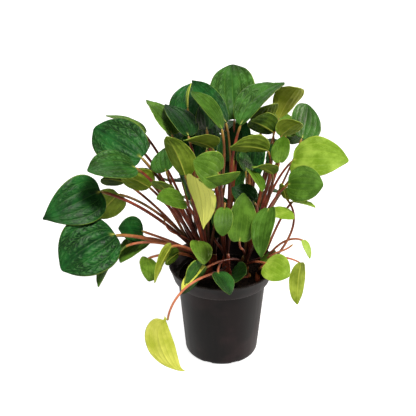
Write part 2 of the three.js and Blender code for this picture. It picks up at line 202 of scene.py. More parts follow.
# ---- Pot ----
# A thin-walled nursery pot of black plastic, drawn or blown in one piece. It has a deep rim band
# that stands out over the body, a small bead round the rim, a rounded foot and eight drain slots.
RIM_R, POT_H = 60, 113
BAND_H, BAND_FOOT_R = 17, 54.4
BODY_TOP_R, BODY_FOOT_R, FOOT_FILLET, FOOT_IN = 49.9, 41.4, 7, 0.3
WALL = 1.3
LIP_OUT, LIP_H, LIP_EDGE = 0.8, 2, 0.4
POT_SIDES = 144
DRAIN_SLOTS, SLOT_W, SLOT_H, SLOT_FROM, SLOT_TO = 8, 9, 3, 31, 46
ARC_STEP, OUTLINE_STEP = 0.26, 6  # radians along a rounded corner, longest straight stretch
SHARP_DEG = 40  # edges that turn more than this stay sharp
BAND_EDGE_Z, LIP_EDGE_Z = 0.0962, 0.1125  # heights of the two edges that carry a painted pale highlight line, in metres


def new_shape_tree(name, **kinds):
    """A Geometry Nodes tree with a geometry in and out, and the named inputs as formulas."""
    tree = bpy.data.node_groups.new(name, "GeometryNodeTree")
    tree.interface.new_socket("Geometry", in_out="INPUT", socket_type="NodeSocketGeometry")
    for key, kind in kinds.items():
        tree.interface.new_socket(key.replace("_", " "), in_out="INPUT", socket_type="NodeSocket" + kind)
    tree.interface.new_socket("Geometry", in_out="OUTPUT", socket_type="NodeSocketGeometry")
    given = tree.nodes.new("NodeGroupInput").outputs
    values = {key: Formula(tree, given[key.replace("_", " ")]) for key in kinds}
    return tree, given["Geometry"], values


def end_shape_tree(tree, geometry, material):
    """Realize what the tree made, give it its material and put it out."""
    real = step(tree, "GeometryNodeRealizeInstances", Geometry=geometry)
    painted = step(tree, "GeometryNodeSetMaterial", Geometry=real, Material=material)
    out = tree.nodes.new("NodeGroupOutput")
    tree.links.new(painted, out.inputs["Geometry"])


def shaped(name, mesh, tree, **values):
    """Run a shape tree on a mesh or curve with the given inputs, and give the piece that it makes."""
    maker = bpy.data.objects.new(name + "_maker", mesh)
    scene.collection.objects.link(maker)
    modifier = maker.modifiers.new("shape", "NODES")
    modifier.node_group = tree
    for socket in tree.interface.items_tree:
        if socket.in_out == "INPUT" and socket.name.replace(" ", "_") in values:
            modifier[socket.identifier] = values[socket.name.replace(" ", "_")]
    graph = bpy.context.evaluated_depsgraph_get()
    made = bpy.data.meshes.new_from_object(
        maker.evaluated_get(graph), preserve_all_data_layers=True, depsgraph=graph)
    made.name = name
    bpy.data.objects.remove(maker)
    piece = bpy.data.objects.new(name, made)
    scene.collection.objects.link(piece)
    return piece


def colour(red, green, blue):
    """A screen colour (0 to 255) as the linear colour that shaders use."""
    return (*((c / 255 / 12.92 if c < 10.3 else ((c / 255 + 0.055) / 1.055) ** 2.4)
              for c in (red, green, blue)), 1)


def new_material(name, roughness, **sockets):
    """A material with its Principled shader's plain values set."""
    material = bpy.data.materials.new(name)
    material.use_nodes = True
    shader = material.node_tree.nodes["Principled BSDF"]
    shader.inputs["Roughness"].default_value = roughness
    for key, value in sockets.items():
        shader.inputs[key.replace("_", " ")].default_value = value
    return material, material.node_tree, shader


def blend_of(share, first, second):
    """Mix two colours by a share from 0 to 1. A plain one is given as screen values, 0 to 255."""
    node = share.tree.nodes.new("ShaderNodeMix")
    node.data_type = "RGBA"
    feed(share.tree, node.inputs["Factor"], share)
    for socket, term in zip(node.inputs[6:8], (first, second)):  # the node's two colour inputs
        feed(share.tree, socket, colour(*term) if isinstance(term, tuple) else term)
    return node.outputs[2]


def layered(base, *layers):
    """A colour with others laid over it in turn, each with the share that it covers."""
    for share, tint in layers:
        base = blend_of(share, base, tint)
    return base


def emboss(shader, strength, distance, height):
    """Bump a material's surface by a height."""
    feed(height.tree, shader.inputs["Normal"],
         step(height.tree, "ShaderNodeBump", Strength=strength, Distance=distance, Height=height))


def rounded(corners):
    """The outline through the corners (x, z, rounding radius), each corner turned into an arc."""
    line = []
    for i, (x, z, radius) in enumerate(corners):
        here = Vector((x, z))
        if not radius or i in (0, len(corners) - 1):
            line.append(here)
            continue
        back = (Vector(corners[i - 1][:2]) - here).normalized()
        on = (Vector(corners[i + 1][:2]) - here).normalized()
        half = back.angle(on) / 2
        reach = radius / math.tan(half)
        start, end = here + back * reach, here + on * reach
        bow = here + (back + on).normalized() * (radius / math.sin(half))
        steps = max(3, round((math.pi - 2 * half) / ARC_STEP))
        first, last = start - bow, end - bow
        turn = first.angle_signed(last)
        for k in range(steps + 1):
            angle = -turn * k / steps
            line.append(bow + Vector((first.x * math.cos(angle) - first.y * math.sin(angle),
                                      first.x * math.sin(angle) + first.y * math.cos(angle))))
    return line


def stations(line, longest):
    """The outline with points added so that no stretch is longer than `longest`."""
    dense = [line[0]]
    for point in line[1:]:
        parts = max(1, math.ceil((point - dense[-1]).length / longest))
        start = dense[-1]
        dense += [start.lerp(point, k / parts) for k in range(1, parts + 1)]
    return dense


def turning_mesh(name, line):
    """A mesh of one chain of points in the XZ plane: the outline that a turned shell follows."""
    mesh = bpy.data.meshes.new(name)
    mesh.from_pydata([(p.x * MM, 0, p.y * MM) for p in line], [(i, i + 1) for i in range(len(line) - 1)], [])
    return mesh


def turned_shell(tree, outline, sides):
    """The shell that an outline sweeps round Z, in a shape tree, with its seam and poles closed."""
    count = read(tree, "GeometryNodeAttributeDomainSize", Geometry=outline)
    grid = step(tree, "GeometryNodeMeshGrid", Size_X=1.0, Size_Y=1.0, Vertices_X=sides, Vertices_Y=count)
    number = read(tree, "GeometryNodeInputIndex")
    row = number.math("MODULO", count)
    column = (number / count).math("FLOOR")
    point = step(tree, "GeometryNodeSampleIndex", data_type="FLOAT_VECTOR", Geometry=outline, Index=row,
                 Value=step(tree, "GeometryNodeInputPosition"))
    placed = step(tree, "ShaderNodeVectorRotate", rotation_type="Z_AXIS", Vector=point,
                  Angle=column * math.tau / (sides - 1))
    swept = step(tree, "GeometryNodeSetPosition", Geometry=grid, Position=placed)
    return step(tree, "GeometryNodeMergeByDistance", Geometry=swept, Distance=1e-5)


# Each corner of the pot's outline: its distance from the middle, its height and its rounding.
pot_corners = [
    (0, 0, 0), (BODY_FOOT_R - FOOT_IN, 0, FOOT_FILLET - 1), (BODY_TOP_R, POT_H - BAND_H, 0.3),
    (BAND_FOOT_R, POT_H - BAND_H, 0.45), (RIM_R - LIP_OUT, POT_H - LIP_H, 0.2),
    (RIM_R, POT_H - LIP_H + LIP_EDGE, 0.3), (RIM_R, POT_H, 0.6), (RIM_R - WALL - LIP_OUT, POT_H, 0.6),
    (BAND_FOOT_R - WALL, POT_H - BAND_H + WALL, 0.4), (BODY_TOP_R - WALL, POT_H - BAND_H + WALL, 0.5),
    (BODY_FOOT_R - WALL, WALL, FOOT_FILLET - WALL), (0, WALL, 0)]

pot_black, tree, shader = new_material("pot_black", 0.5, Specular_IOR_Level=0.16)
place = step(tree, "ShaderNodeTexCoord", "Object")
streaks = read(tree, "ShaderNodeTexNoise", "Fac", Scale=60.0, Detail=4.0, Roughness=0.6,
               Vector=step(tree, "ShaderNodeMapping", Vector=place, Scale=(1, 1, 0.12)))
specks = read(tree, "ShaderNodeTexNoise", "Fac", Scale=900.0, Detail=2.0, Vector=place)
height = read(tree, "ShaderNodeSeparateXYZ", "Z", Vector=place)
# A painted highlight: a thin pale line, broken up by specks, along the foot of the rim band and the lip's
# edge.
edge = (height - BAND_EDGE_Z).bell(0.0007) + (height - LIP_EDGE_Z).bell(0.0012) * 0.6
mottle = streaks.ramp(0.35, 0.68)
dust = specks.ramp(0.62, 0.8) * 0.05
patches = read(tree, "ShaderNodeTexNoise", "Fac", Scale=22.0, Detail=3.0, Vector=place)
feed(tree, shader.inputs["Base Color"], layered(
    blend_of(mottle, (8, 5, 6), (24, 17, 18)), (patches.ramp(0.48, 0.66) * 0.6, (42, 29, 31)),
    (edge * specks.ramp(0.3, 0.7) * 0.5, (96, 88, 84)), (dust, (110, 100, 90))))
feed(tree, shader.inputs["Roughness"], mottle * 0.14 + 0.4 + dust)
emboss(shader, 0.25, 0.0004, specks * 0.4 + streaks * 0.6)

pot_tree, given, value = new_shape_tree(
    "Nursery pot", Sides="Int", Slots="Int", Slot_Width="Float", Slot_Height="Float",
    Slot_From="Float", Slot_To="Float")
shell = turned_shell(pot_tree, given, value["Sides"])
slot_from, slot_to = value["Slot_From"], value["Slot_To"]
slot_size = step(pot_tree, "ShaderNodeCombineXYZ", X=slot_to - slot_from, Y=value["Slot_Width"],
                 Z=value["Slot_Height"] * 2)
slot_box = step(pot_tree, "GeometryNodeMeshCube", Size=slot_size)
slot_box = step(pot_tree, "GeometryNodeTransform", Geometry=slot_box,
                Translation=step(pot_tree, "ShaderNodeCombineXYZ", X=(slot_from + slot_to) * 0.5))
slot_number = read(pot_tree, "GeometryNodeInputIndex") + 0.5
slot_turn = step(pot_tree, "ShaderNodeCombineXYZ", Z=slot_number * math.tau / value["Slots"])
slots = step(pot_tree, "GeometryNodeInstanceOnPoints", Instance=slot_box, Rotation=slot_turn,
             Points=step(pot_tree, "GeometryNodePoints", Count=value["Slots"]))
slots = step(pot_tree, "GeometryNodeRealizeInstances", Geometry=slots)
cut = step(pot_tree, "GeometryNodeMeshBoolean", operation="DIFFERENCE", solver="EXACT",
           Mesh_1=shell, Mesh_2=slots)
end_shape_tree(pot_tree, cut, pot_black)

pot_outline = turning_mesh("pot_outline", stations(rounded(pot_corners), OUTLINE_STEP))
pot = shaped("pot_shell", pot_outline, pot_tree, Sides=POT_SIDES + 1, Slots=DRAIN_SLOTS,
             Slot_Width=SLOT_W * MM, Slot_Height=SLOT_H * MM, Slot_From=SLOT_FROM * MM, Slot_To=SLOT_TO * MM)
pot.data.shade_smooth()
pot.data.set_sharp_from_angle(angle=math.radians(SHARP_DEG))
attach(pot, "root")
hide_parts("pot")

# ---- Potting mix ----
# Dark peat with bark crumbs, filled to the foot of the rim band. It is one loose mass, lumpy on
# top, with crumbs and fibres of many sizes lying on it.
SOIL_TOP = 95
SOIL_SIDES, SOIL_RINGS = 96, 40
SOIL_GAP = 0.4  # clear of the pot's wall and of the drain slots, which stay open
LUMP_H, LUMP_SIZE = 1.6, 110.0
CRUMBS_PER_M2, CRUMB_SEED = 240000.0, 7
CRUMB_SMALL, CRUMB_LARGE = 0.35, 1.5

peat, tree, shader = new_material("peat", 0.95, Specular_IOR_Level=0.08)
place = step(tree, "ShaderNodeTexCoord", "Object")
lumps = read(tree, "ShaderNodeTexNoise", "Fac", Scale=320.0, Detail=5.0, Vector=place)
fibre = read(tree, "ShaderNodeTexVoronoi", "Distance", Scale=900.0, Vector=place)
feed(tree, shader.inputs["Base Color"], layered(
    blend_of(lumps.ramp(0.35, 0.7), (5, 4, 4), (26, 18, 14)), (fibre.ramp(0.55, 0.8) * 0.3, (70, 48, 34))))
emboss(shader, 0.8, 0.001, lumps + fibre * 0.4)

soil_tree, given, value = new_shape_tree(
    "Potting mix", Sides="Int", Top="Float", Lump_Height="Float", Lump_Size="Float", Crumb_Density="Float",
    Crumb_Small="Float", Crumb_Large="Float", Seed="Int")
body = turned_shell(soil_tree, given, value["Sides"])
rough = read(soil_tree, "ShaderNodeTexNoise", "Fac", Scale=value["Lump_Size"], Detail=6.0)
spot = step(soil_tree, "GeometryNodeInputPosition")
high = read(soil_tree, "ShaderNodeSeparateXYZ", "Z", Vector=spot)
on_top = high.ramp(value["Top"] - MM, value["Top"])
heave = (rough - 0.5) * 2 * value["Lump_Height"] * on_top
body = step(soil_tree, "GeometryNodeSetPosition", Geometry=body,
            Offset=step(soil_tree, "ShaderNodeCombineXYZ", Z=heave))
crumb_points = step(soil_tree, "GeometryNodeDistributePointsOnFaces", Mesh=body, Selection=on_top,
                    Density=value["Crumb_Density"], Seed=value["Seed"])


def drawn_between(least, most):
    """A seeded random vector for each crumb, between two vectors."""
    return step(soil_tree, "FunctionNodeRandomValue", data_type="FLOAT_VECTOR", Min=least, Max=most,
                Seed=value["Seed"])


small, large = value["Crumb_Small"], value["Crumb_Large"]
crumb_turn = drawn_between((0, 0, 0), (math.tau, math.tau, math.tau))
crumb_size = drawn_between(step(soil_tree, "ShaderNodeCombineXYZ", X=small, Y=small, Z=small),
                           step(soil_tree, "ShaderNodeCombineXYZ", X=large, Y=large, Z=small))
crumbs = step(soil_tree, "GeometryNodeInstanceOnPoints", Points=crumb_points, Rotation=crumb_turn,
              Instance=step(soil_tree, "GeometryNodeMeshIcoSphere", Radius=1.0, Subdivisions=1),
              Scale=crumb_size)
both = soil_tree.nodes.new("GeometryNodeJoinGeometry")
soil_tree.links.new(crumbs, both.inputs[0])
soil_tree.links.new(body, both.inputs[0])
end_shape_tree(soil_tree, both.outputs[0], peat)

SOIL_R, SOIL_FOOT = BODY_TOP_R - WALL - SOIL_GAP, SLOT_H + SOIL_GAP
SOIL_FOOT_R = BODY_FOOT_R - WALL - FOOT_IN
soil_outline = rounded([
    (0, SOIL_FOOT, 0), (SOIL_FOOT_R, SOIL_FOOT, FOOT_FILLET - WALL - 1), (SOIL_R, SOIL_TOP, 0)])
soil_outline += [Vector((SOIL_R * (1 - k / SOIL_RINGS), SOIL_TOP)) for k in range(1, SOIL_RINGS + 1)]
soil = shaped("potting_mix", turning_mesh("soil_outline", soil_outline), soil_tree,
              Sides=SOIL_SIDES + 1, Top=SOIL_TOP * MM, Lump_Height=LUMP_H * MM, Lump_Size=LUMP_SIZE,
              Crumb_Density=CRUMBS_PER_M2, Crumb_Small=CRUMB_SMALL * MM, Crumb_Large=CRUMB_LARGE * MM,
              Seed=CRUMB_SEED)
soil.data.shade_smooth()
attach(soil, "root")
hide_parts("soil")

# ---- Leaf blades ----
# Thick, slightly succulent blades, round to heart-shaped, each grown in one piece. Sunk veins fan
# out from the notch and puff the tissue up between them. The upper face is deep green, with painted
# shade in the hollows and a painted grey-green highlight on the crests, the underside olive, and a
# pale line runs round the margin. Leaves that lie in shade are painted darker.
BLADE_T = 0.7
CREASE = 0.1  # softened width of a V-fold, as a share of the width
BLADE_ACROSS, BLADE_ALONG = 54, 70
BLADE_SEED_STEP = 3.7
VEIN_LANES = 3  # sunk veins on each side of the midrib
RIB_COUNT, RIB_SLANT = 22, 4.4
PLEAT_COUNT, PLEAT_SLANT = 13, 2.2
PUFF_H, PLEAT_H, CRUMPLE_H, WAVE_H = 0.023, 0.007, 0.022, 0.14  # shares of the width

# A blade's form: depth of its notch, how far its widest place is below the middle, and how sharp
# its tip and its base are.
FORMS = {
    "round": (0.04, 0.06, 0.12, 0.0), "oval": (0.01, 0.1, 0.25, 0.0), "egg": (0.04, 0.24, 0.25, 0.0),
    "heart": (0.2, 0.26, 0.12, 0.0), "wedge": (-0.02, 0.0, 0.1, 0.32), "spear": (0.03, 0.36, 0.5, 0.0),
    "boat": (0.0, 0.05, 0.5, 0.2), "sail": (0.12, 0.05, 0.45, 0.0), "dart": (0.03, 0.5, 0.75, 0.0)}

# Each row is one leaf: its stem, form, blade base and tip, width, roll about its length in degrees,
# V-fold, arch, youth (0 deep green, 1 yellow-green; below 0 painted shade darkens the leaf, above 1
# its underside is paler still) and puff of the tissue. Some have a sideways sway, guides that bend
# the stalk, and another youth underneath.
LEAVES = [
    # top of the plant
    ("m", "round", (13, 30, 275), (11, 89, 316), 52, -10, 0.15, 0.08, 0.15, 1),
    ("m", "boat", (18, -15, 287), (66, 33, 316), 54, -10, 0.6, 0.06, 0.15, 0.9),
    ("r", "wedge", (62, 44, 270), (80, 18, 316), 35, -30, 0.5, 0.08, 0.82, 0.3),
    ("m", "boat", (4, 8, 280), (-33, 50, 312), 27, -25, 0.4, 0.06, 0, 0.8),
    ("l", "boat", (-1, -36, 292), (-34, 10, 315), 26, -5, 0.9, 0.05, 0.25, 0.6),
    ("l", "egg", (-39, 38, 271), (-33, 89, 294), 42, -5, 0.1, 0.08, 0.0, 0.8),
    ("l", "spear", (-54, 0, 270), (-83, 46, 291), 38, 15, 0.5, 0.06, 0.3, 0.8),
    ("l", "spear", (-36, -18, 276), (-62, 33, 291), 36, 10, 0.5, 0.05, -0.5, 0.8),
    ("l", "egg", (-17, 14, 246), (-18, 61, 262), 34, 30, 0.2, 0.05, -0.5, 0.8),
    ("r", "wedge", (43, 30, 264), (50, 5, 302), 34, 10, 0.2, 0.06, 0.5, 0.6),
    # right
    ("r", "round", (85, 3, 264), (93, 40, 288), 40, 40, 0.1, 0.06, 0.15, 0.5),
    ("r", "egg", (74, -18, 248), (129, -48, 261), 50, 40, 0.1, 0.08, 0.78, 0.5),
    ("r", "round", (67, -54, 237), (101, -75, 246), 39, 55, 0.1, 0.08, 0.28, 0.5),
    ("r", "egg", (55, 15, 266), (28, -6, 288), 34, 55, 0.5, 0.06, 0.1, 0.4),
    ("r", "egg", (63, -3, 271), (80, -25, 294), 27, -40, 0.4, 0.06, 0.7, 0.6),
    ("r", "boat", (46, -50, 274), (6, -70, 286), 38, 50, 0.3, 0.06, 0.4, 0.5),
    ("r", "round", (59, -33, 252), (64, -8, 271), 21, -15, 0.1, 0.05, 0.4, 0.5),
    ("r", "egg", (52, -45, 245), (30, -63, 260), 26, 25, 0.3, 0.1, 0.5, 0.6),
    # front
    ("m", "heart", (-5, -76, 260), (-30, -88, 279), 38, -65, 0.05, 0.08, 0.36, 0.5, 0, [(-2, -50, 215)]),
    ("m", "dart", (-28, -73, 254), (-20, -67, 191), 42, -5, 0.15, 0.05, 1.4, 0.2),
    ("r", "egg", (33, -56, 217), (9, -50, 231), 28, -30, 0.15, 0.06, -0.4, 0.6, 0, [(42, -34, 190)]),
    ("r", "egg", (17, -80, 184), (21, -62, 231), 33, 30, 0.2, 0.05, 0.32, 0.35),
    ("m", "round", (1, -82, 224), (-1, -102, 202), 20, 0, 0.1, 0.1, 0.3, 0.5, 0,
     [(-8, -45, 190), (4, -84, 240)]),
    ("r", "egg", (47, -71, 218), (38, -112, 183), 30, 30, 0.25, 0.06, 0.25, 0.4),
    ("r", "round", (48, -54, 206), (73, -75, 208), 19, 15, 0.1, 0.08, 0.9, 0.5),
    ("r", "oval", (86, -30, 130), (83, -42, 83), 24, 130, 0.15, 0.05, 0.7, 0.5),
    ("r", "round", (47, -50, 141), (70, -77, 140), 32, 40, 0.1, 0.08, 0.85, 0.4),
    ("m", "round", (10, -32, 115), (26, -46, 126), 29, 35, 0.1, 0.08, 0.1, 0.6),
    ("m", "egg", (-5, -62, 136), (8, -86, 123), 24, -10, 0.2, 0.05, 0.08, 0.6),
    ("l", "egg", (-26, -45, 165), (-20, -71, 151), 26, -20, 0.15, 0.06, 0.45, 0.4),
    ("r", "spear", (-17, -56, 139), (-43, -78, 119), 46, -108, -0.45, 0.06, 0.15, 0.6, 0, (), 1),
    ("m", "sail", (-59, -85, 91), (-39, -98, 34), 31, -115, 0.1, 0.04, 1, 0.2, -0.3,
     [(-3, -65, 130), (-39, -94, 160)]),
    # lower left
    ("l", "round", (-82, -20, 130), (-80, -47, 116), 26, -35, 0.1, 0.06, 0.5, 0.5),
    ("l", "egg", (-55, -54, 164), (-72, -87, 138), 30, 80, 0.15, 0.05, 0.75, 0.5),
    ("l", "egg", (-48, -28, 141), (-62, -50, 140), 19, 90, 0.2, 0.05, 0.1, 0.6),
    ("l", "spear", (-130, -24, 214), (-189, -56, 197), 52, -58, 0.15, 0.1, 0.02, 0.7),
    ("l", "oval", (-114, -46, 173), (-170, -76, 147), 66, -50, 0.15, 0.1, -0.05, 1.2, 0.08),
    ("l", "boat", (-105, -34, 153), (-133, -72, 124), 36, 35, 0.3, 0.06, 0.25, 0.6, 0, [(-62, -34, 166)]),
    ("l", "oval", (-87, -10, 158), (-112, -31, 173), 30, -60, 0.1, 0.06, -0.1, 0.6),
    ("l", "egg", (-84, 2, 144), (-112, -32, 131), 34, 5, 0.2, 0.06, 0.3, 0.6),
    # upper left
    ("l", "round", (-115, 17, 191), (-141, 23, 157), 36, 80, 0.15, 0.06, 0.6, 0.5),
    ("l", "oval", (-91, -38, 249), (-138, -66, 258), 42, -25, 0.2, 0.08, 0.1, 1.1),
    ("l", "round", (-86, -12, 248), (-138, 17, 270), 55, -40, 0.15, 0.06, 0.03, 1.2),
    ("l", "oval", (-85, 30, 258), (-129, 57, 268), 30, 15, 0.2, 0.06, 0.35, 0.6),
    ("l", "egg", (-107, 10, 209), (-131, -9, 221), 30, 55, 0.2, 0.06, 0.15, 0.6),
    ("l", "spear", (-78, -20, 217), (-107, -38, 241), 34, 60, 0.3, 0.06, 0.55, 0.6),
    ("l", "egg", (-60, -28, 240), (-63, 8, 250), 32, -30, 0.2, 0.05, 0.15, 0.9),
    ("l", "egg", (-39, -50, 246), (-57, -63, 295), 34, 35, 0.5, 0.06, 0.4, 0.6),
    ("m", "egg", (-11, -25, 266), (-39, -50, 285), 36, 30, 0.3, 0.06, 0.6, 0.6),
    ("l", "egg", (-40, -52, 217), (-68, -73, 230), 28, -30, 0.1, 0.06, 0.35, 0.6),
    ("r", "egg", (27, -55, 254), (39, -83, 243), 24, -35, 0.2, 0.06, 0.4, 0.6, 0, [(38, -42, 222)]),
    ("l", "egg", (-58, -37, 220), (-71, -54, 241), 24, 15, 0.1, 0.05, 0.3, 0.6),
    ("r", "egg", (24, -44, 247), (21, -26, 262), 24, 45, 0.1, 0.05, 0.1, 0.6, 0, [(26, -34, 200)]),
]


class Leaf:
    """The numbers of one leaf, in metres, and its blade's own axes."""

    def __init__(self, form, base, tip, width, roll, fold, arch, youth, puff, sway=0, bends=(), back=None):
        self.notch, self.egg, self.point, self.wedge = FORMS[form]
        self.base, self.tip, self.bends = mm(*base), mm(*tip), [mm(*p) for p in bends]
        self.width, self.fold, self.arch, self.sway = width * MM, fold, arch, sway
        self.youth, self.puff = youth, puff
        self.back = youth if back is None else back
        self.along = (self.tip - self.base).normalized()
        sky = Vector((0, 0, 1)) - self.along * self.along.z
        sky.normalize()
        side = self.along.cross(sky)
        self.upper = sky * math.cos(math.radians(roll)) + side * math.sin(math.radians(roll))
        self.across = self.along.cross(self.upper)

    def place(self):
        """The matrix that takes the blade from its own axes to its place."""
        turn = Matrix((self.across, self.along, self.upper)).transposed()
        return Matrix.Translation(self.base) @ turn.to_4x4()


def grain_group():
    """Fine plant tissue: cells that catch the light, and soft blotches of colour."""
    group = bpy.data.node_groups.new("Plant tissue", "ShaderNodeTree")
    for name in ("Cell Scale", "Blotch Scale"):
        group.interface.new_socket(name, in_out="INPUT", socket_type="NodeSocketFloat")
    for name in ("Cells", "Blotches"):
        group.interface.new_socket(name, in_out="OUTPUT", socket_type="NodeSocketFloat")
    given = group.nodes.new("NodeGroupInput").outputs
    place = step(group, "ShaderNodeTexCoord", "Object")
    cells = step(group, "ShaderNodeTexVoronoi", "Distance", Scale=given["Cell Scale"], Vector=place)
    blotches = step(group, "ShaderNodeTexNoise", "Fac", Scale=given["Blotch Scale"], Detail=4.0,
                    Roughness=0.6, Vector=place)
    out = group.nodes.new("NodeGroupOutput")
    group.links.new(cells, out.inputs["Cells"])
    group.links.new(blotches, out.inputs["Blotches"])
    return group


plant_tissue = grain_group()


def tissue_of(tree, cell_scale, blotch_scale):
    """The plant tissue's cells and blotches in a material."""
    node = tree.nodes.new("ShaderNodeGroup")
    node.node_tree = plant_tissue
    node.inputs["Cell Scale"].default_value = cell_scale
    node.inputs["Blotch Scale"].default_value = blotch_scale
    return Formula(tree, node.outputs["Cells"]), Formula(tree, node.outputs["Blotches"])


def measured(tree, name):
    """A named attribute of the surface, as a formula."""
    return read(tree, "ShaderNodeAttribute", "Fac", attribute_name=name)


def from_vein(across):
    """How far a place is from the next vein of the fan: 0 on it, 0.5 midway between two."""
    return (across * VEIN_LANES).math("PINGPONG", 0.5)


leaf_skin, tree, shader = new_material("leaf_skin", 0.42, Specular_IOR_Level=0.12)
across, along = measured(tree, "across"), measured(tree, "along")
under, youth = measured(tree, "under"), measured(tree, "youth")
cells, blotches = tissue_of(tree, 1400.0, 55.0)
crest, side = measured(tree, "crest"), across.size()
wander = across + (blotches - 0.5) * 0.07
veins = from_vein(wander).bell(0.045) * along.ramp(0.95, 0.35)
ribs = (along * RIB_COUNT - from_vein(across) * RIB_SLANT + blotches * 4).math("PINGPONG", 0.5)
midrib = (across / (along + 0.05)).bell(0.5) * along.ramp(0.22, 0.04)
margin = side.ramp(0.94, 0.985)

# The upper face by its age, with painted shade darkening the leaves that lie in shadow, then
# painted shade in its hollows and a painted highlight on its crests, then its veins, ribs, cells,
# midrib and margin.
deep = blend_of(blotches.ramp(0.35, 0.68), (6, 40, 14), (24, 84, 32))
middle = blend_of(blotches.ramp(0.35, 0.68), (62, 96, 16), (102, 138, 42))
fresh = blend_of(blotches.ramp(0.35, 0.7), (114, 148, 34), (158, 186, 72))
green = layered(
    deep, (youth.ramp(0, 0.5), middle), (youth.ramp(0.4, 1), fresh), (youth.ramp(0, -0.5) * 0.7, (2, 16, 3)),
    # Painted shade in the hollows between the veins, and a painted highlight on the crests.
    (crest.ramp(0.42, 0.02) * 0.6, blend_of(youth, (4, 30, 8), (112, 142, 38))),
    (crest.ramp(0.58, 1.0) * 0.3, blend_of(youth, (84, 138, 76), (178, 202, 100))),
    (veins * 0.35, blend_of(youth, (66, 122, 44), (182, 204, 80))),
    (ribs.bell(0.11) * 0.3 * side.ramp(0.02, 0.3), blend_of(youth, (74, 132, 50), (176, 200, 78))),
    (cells.ramp(0.5, 0.1) * 0.14, (20, 56, 8)), (midrib * 0.9, (206, 208, 96)),
    (margin * 0.85, blend_of(youth.ramp(0, 0.6), (92, 128, 52), (170, 188, 76))))

# The underside by its age, paler still past 1 and darkened by painted shade below 0, then its
# veins, ribs, long midrib and margin.
olive = blend_of(blotches.ramp(0.35, 0.7), (34, 60, 10), (84, 112, 30))
leafy = blend_of(blotches.ramp(0.35, 0.7), (88, 112, 18), (138, 160, 52))
pale = blend_of(blotches.ramp(0.3, 0.7), (176, 186, 58), (208, 210, 94))
below = layered(
    olive, (youth.ramp(0.1, 0.6), leafy), (youth.ramp(0.6, 1), pale), (youth.ramp(1, 1.4), (238, 242, 122)),
    (youth.ramp(0, -0.5) * 0.7, (8, 22, 4)),
    (from_vein(wander).bell(0.04) * 0.28, blend_of(youth, (112, 128, 34), (132, 142, 40))),
    (ribs.bell(0.1) * 0.16, (84, 104, 20)), (across.bell(0.045) * along.ramp(1.0, 0.1) * 0.9, (198, 202, 84)),
    (margin * 0.6, (168, 180, 70)))

feed(tree, shader.inputs["Base Color"], blend_of(under, green, below))
feed(tree, shader.inputs["Roughness"], blotches * 0.16 + 0.32 + under * 0.14)
emboss(shader, 0.35, 0.0005, cells * 0.25 + ribs.bell(0.14) * -0.5 + veins * -0.6)

blade_tree, given, value = new_shape_tree(
    "Leaf blade", Length="Float", Width="Float", Thickness="Float", Fold="Float", Arch="Float", Sway="Float",
    Crease="Float", Notch="Float", Egg="Float", Point="Float", Wedge="Float", Puff="Float", Youth="Float",
    Back="Float", Seed="Float", Across="Int", Along="Int")
length, width, fold, seed = (value[key] for key in ("Length", "Width", "Fold", "Seed"))
notch, egg, point, wedge = (value[key] for key in ("Notch", "Egg", "Point", "Wedge"))
grid = step(blade_tree, "GeometryNodeMeshGrid", Size_X=2.0, Size_Y=1.0,
            Vertices_X=value["Across"] + 1, Vertices_Y=value["Along"] + 1)
spot = blade_tree.nodes.new("ShaderNodeSeparateXYZ")
feed(blade_tree, spot.inputs[0], step(blade_tree, "GeometryNodeInputPosition"))
u = Formula(blade_tree, spot.outputs["X"])
t = Formula(blade_tree, spot.outputs["Y"]) + 0.5
for name, term in (("across", u), ("along", t)):
    grid = step(blade_tree, "GeometryNodeStoreNamedAttribute", Geometry=grid, Name=name, Value=term)

# The outline, from the notch (t is 0) to the tip (1): its half-width, and the height of its rim.
turn = t * math.pi
edge_x = (turn.sin().size() ** 0.9) * (turn.cos() * egg + 1) / (egg * egg * 0.28 + 1)
edge_x = edge_x * (1 - point * (math.pi - turn).bell(0.75)) * (1 - wedge * turn.bell(0.9))
peak = (math.pi - turn).bell(0.22)
rim_y = (1 - turn.cos()) * (notch + 0.97) * 0.5 - (1 - turn.bell(0.2)) * notch + peak * 0.03
spine_y = (1 - turn.cos()) * 0.5
u_side = u.size()
share = u_side ** 1.5
y = (spine_y * (1 - share) + rim_y * share) * length

# The V-fold and the arch.
x = u * edge_x * width * 0.5 / ((fold * fold + 1) ** 0.5)
soft = width * value["Crease"]
up = y / length
z = (up * (1 - up) * length * value["Arch"] * 4
     + fold * ((x * x + soft * soft) ** 0.5 - soft))

# Tissue puffed up between the veins, pleated across and crumpled, and waves towards the rim.
fade = turn.sin().size() ** 0.6
swell = width * value["Puff"] * fade
ruffle = read(blade_tree, "ShaderNodeTexNoise", "Fac", noise_dimensions="4D", Scale=2.2, Detail=2.0, W=seed,
              Vector=step(blade_tree, "ShaderNodeCombineXYZ", X=u, Y=t * 2))
fine = read(blade_tree, "ShaderNodeTexNoise", "Fac", noise_dimensions="4D", Scale=7.0, Detail=2.0, W=seed,
            Vector=step(blade_tree, "ShaderNodeCombineXYZ", X=u, Y=t * 3))
lane = ((u + (ruffle - 0.5) * 0.12) * VEIN_LANES * math.pi).sin().size() ** 0.8
pleat = (t * PLEAT_COUNT - from_vein(u) * PLEAT_SLANT + fine * 2.4) * math.tau
cross = pleat.sin() * (u_side.ramp(0, 0.6) * 0.6 + 0.4)
z = z + swell * ((lane - 0.6) * PUFF_H + cross * lane * PLEAT_H + (fine - 0.5) * CRUMPLE_H)
# How high the tissue stands between hollow and crest, stored for the leaf's colour: painted shade in the
# hollows and a painted highlight on the crests.
crest = (lane * (cross * 0.55 + 0.45) - 0.3) * value["Puff"] * fade + 0.5
grid = step(blade_tree, "GeometryNodeStoreNamedAttribute", Geometry=grid, Name="crest", Value=crest)
z = z + width * fade * (ruffle - 0.5) * WAVE_H * (u_side ** 2)
x = x + t * (1 - t) * length * value["Sway"] * 4

